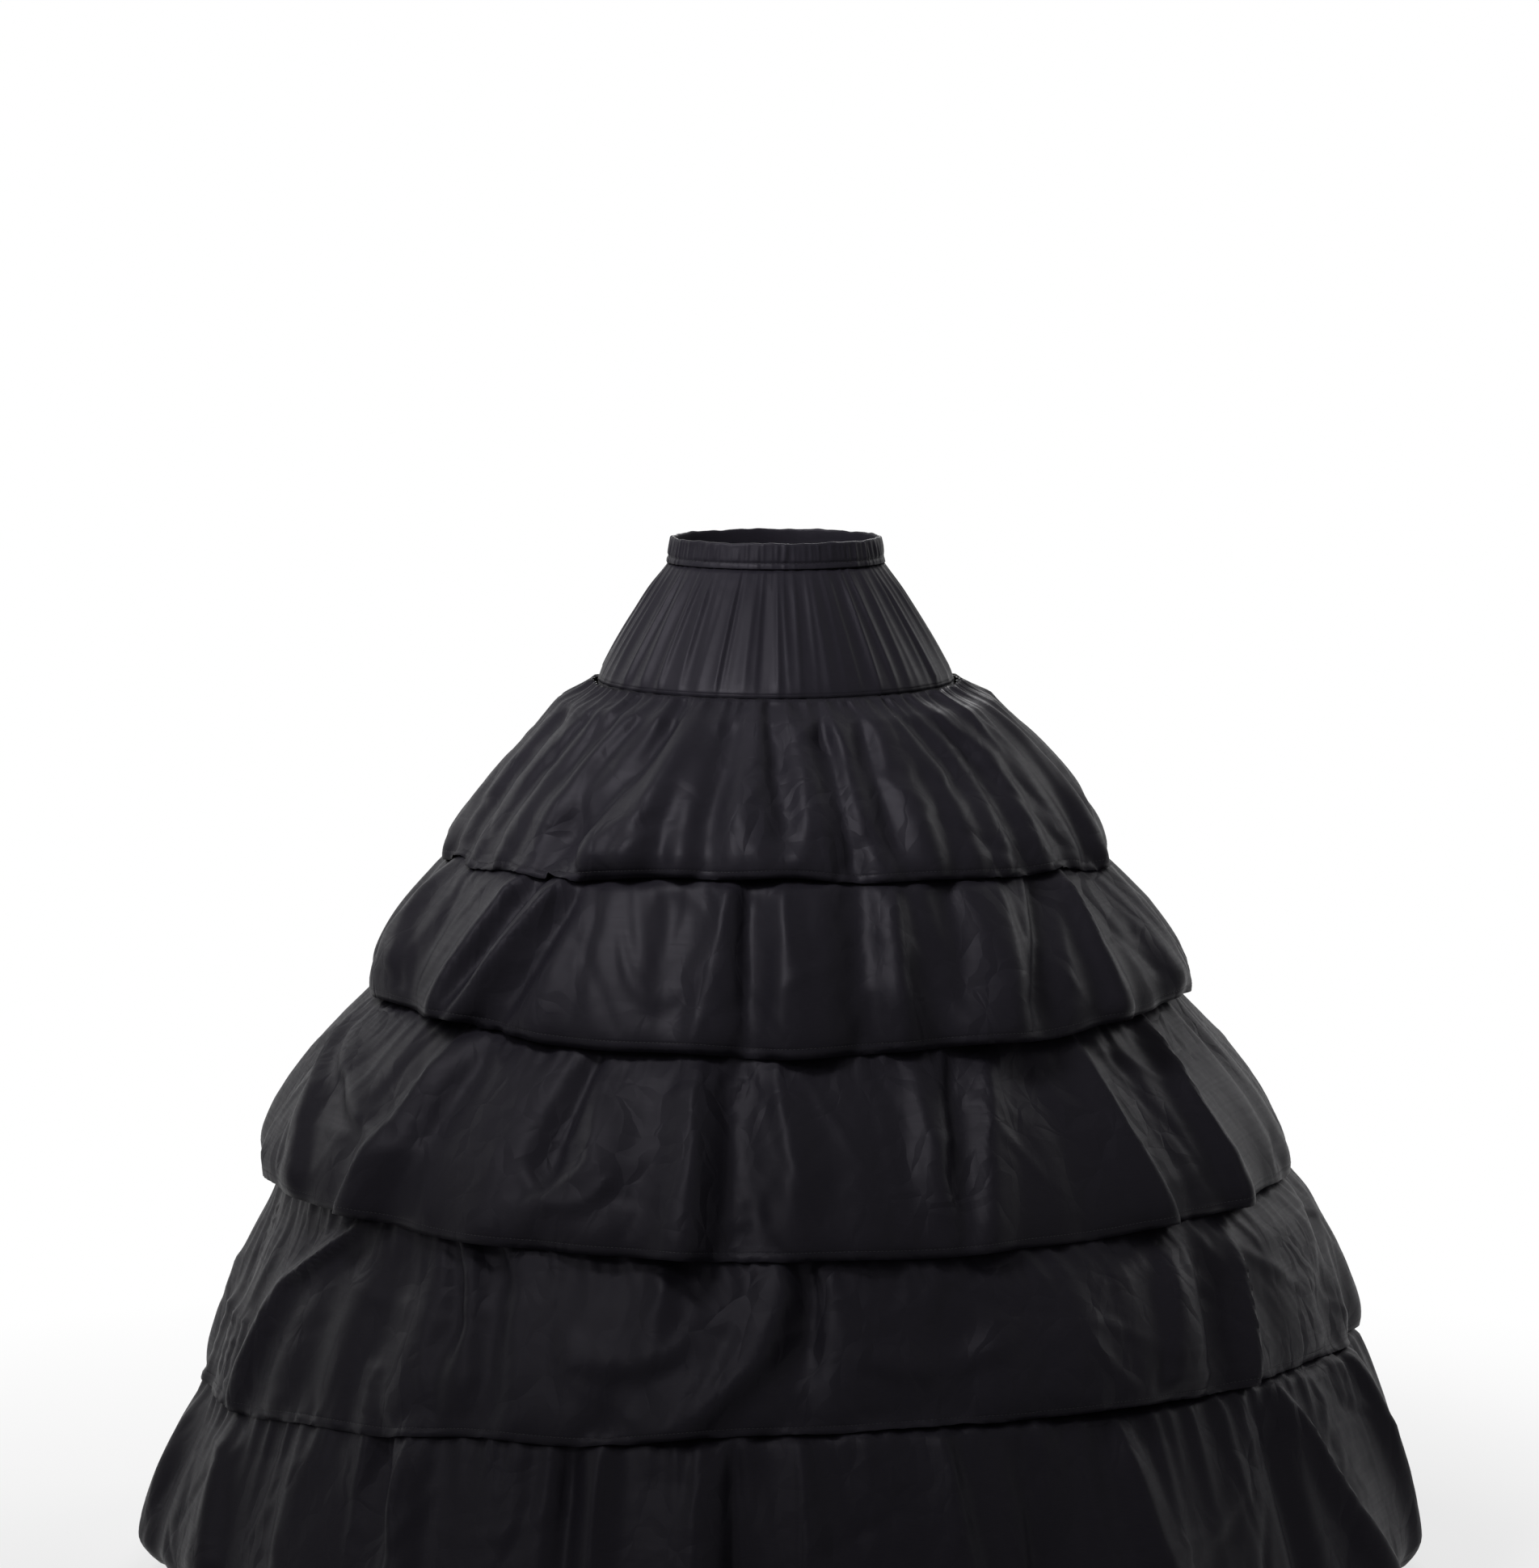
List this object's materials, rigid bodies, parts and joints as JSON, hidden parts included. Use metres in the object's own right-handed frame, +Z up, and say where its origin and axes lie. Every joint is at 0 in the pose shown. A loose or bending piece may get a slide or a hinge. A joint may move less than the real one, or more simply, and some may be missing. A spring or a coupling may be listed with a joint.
{
  "type": "hooped crinoline petticoat",
  "caption": "Floor-length black taffeta petticoat with an elastic waist, a gathered yoke and tiers of gathered flounces held out to a bell by hidden spring hoops.",
  "frame": {"origin": "centre of the waist line, at half the waistband's height", "axes": "+Z up along the wearer, +X to the right of the picture, front towards -Y"},
  "size_m": [1.3221, 1.3199, 1.0678],
  "materials": {
    "taffeta": "black polyester taffeta with a satin sheen",
    "lining": "plain black lining cloth",
    "tape": "black woven tape",
    "elastic": "black braided elastic",
    "ribbon": "spring steel ribbon with a white plastic coat",
    "sleeve": "plain pressed steel"
  },
  "bodies": {
    "root": {"waistband": "taffeta", "waist_elastic": "elastic", "yoke": "taffeta", "underskirt_panel_1": "lining", "underskirt_panel_2": "lining", "underskirt_panel_3": "lining", "underskirt_panel_4": "lining", "hoop_casing_1": "tape", "hoop_casing_2": "tape", "hoop_casing_3": "tape", "hoop_casing_4": "tape", "hoop_1": "ribbon", "hoop_2": "ribbon", "hoop_3": "ribbon", "hoop_4": "ribbon", "hoop_joiner_1": "sleeve", "hoop_joiner_2": "sleeve", "hoop_joiner_3": "sleeve", "hoop_joiner_4": "sleeve", "flounce_1": "taffeta", "flounce_2": "taffeta", "flounce_3": "taffeta", "flounce_4": "taffeta", "flounce_5": "taffeta"}
  },
  "joints": []
}
